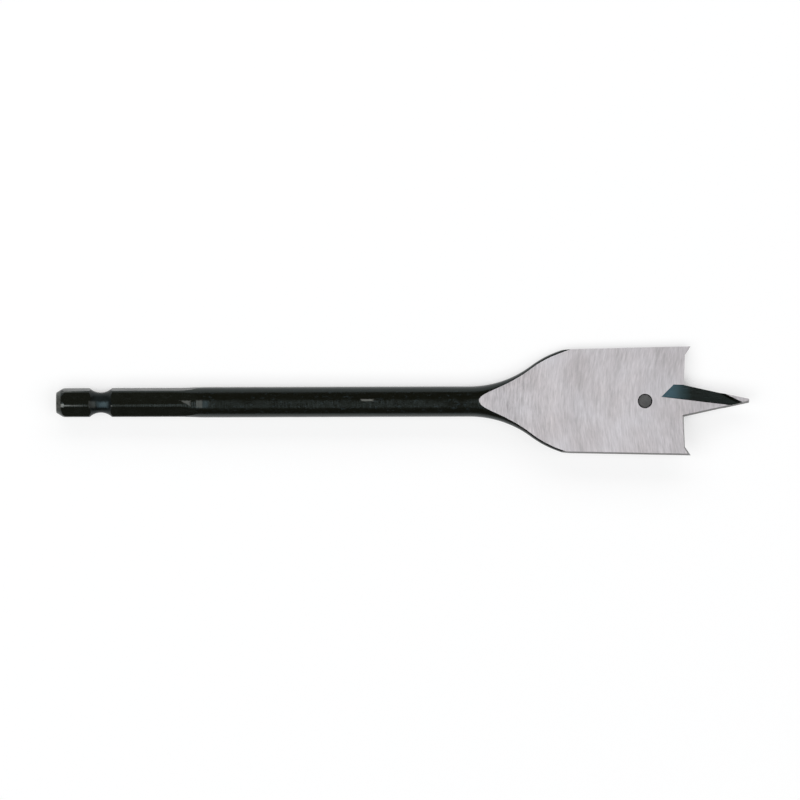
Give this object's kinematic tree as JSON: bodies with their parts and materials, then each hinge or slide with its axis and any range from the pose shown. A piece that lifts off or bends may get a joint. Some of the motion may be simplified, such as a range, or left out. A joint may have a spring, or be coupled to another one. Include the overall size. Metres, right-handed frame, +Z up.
{
  "type": "spade drill bit",
  "caption": "Flat spade drill bit for wood: hex shank with ball groove, round shaft, forged neck, flat ground blade with spurs, lips, a fluted centre point and a hanging hole.",
  "frame": {"origin": "bottom centre of the bounding box: under the middle of the bit's length, on the surface it lies on", "axes": "+X along the bit's axis from the shank end to the point; +Z up; the blade is rolled about X so that the shaft and one spur touch the surface"},
  "size_m": [0.16, 0.0254, 0.007],
  "materials": {
    "steel": "black oxide on the shank, shaft, neck and flutes; bright cross-ground blade faces, sides, lips and point"
  },
  "bodies": {
    "root": {"spade_bit": "steel"}
  },
  "joints": []
}
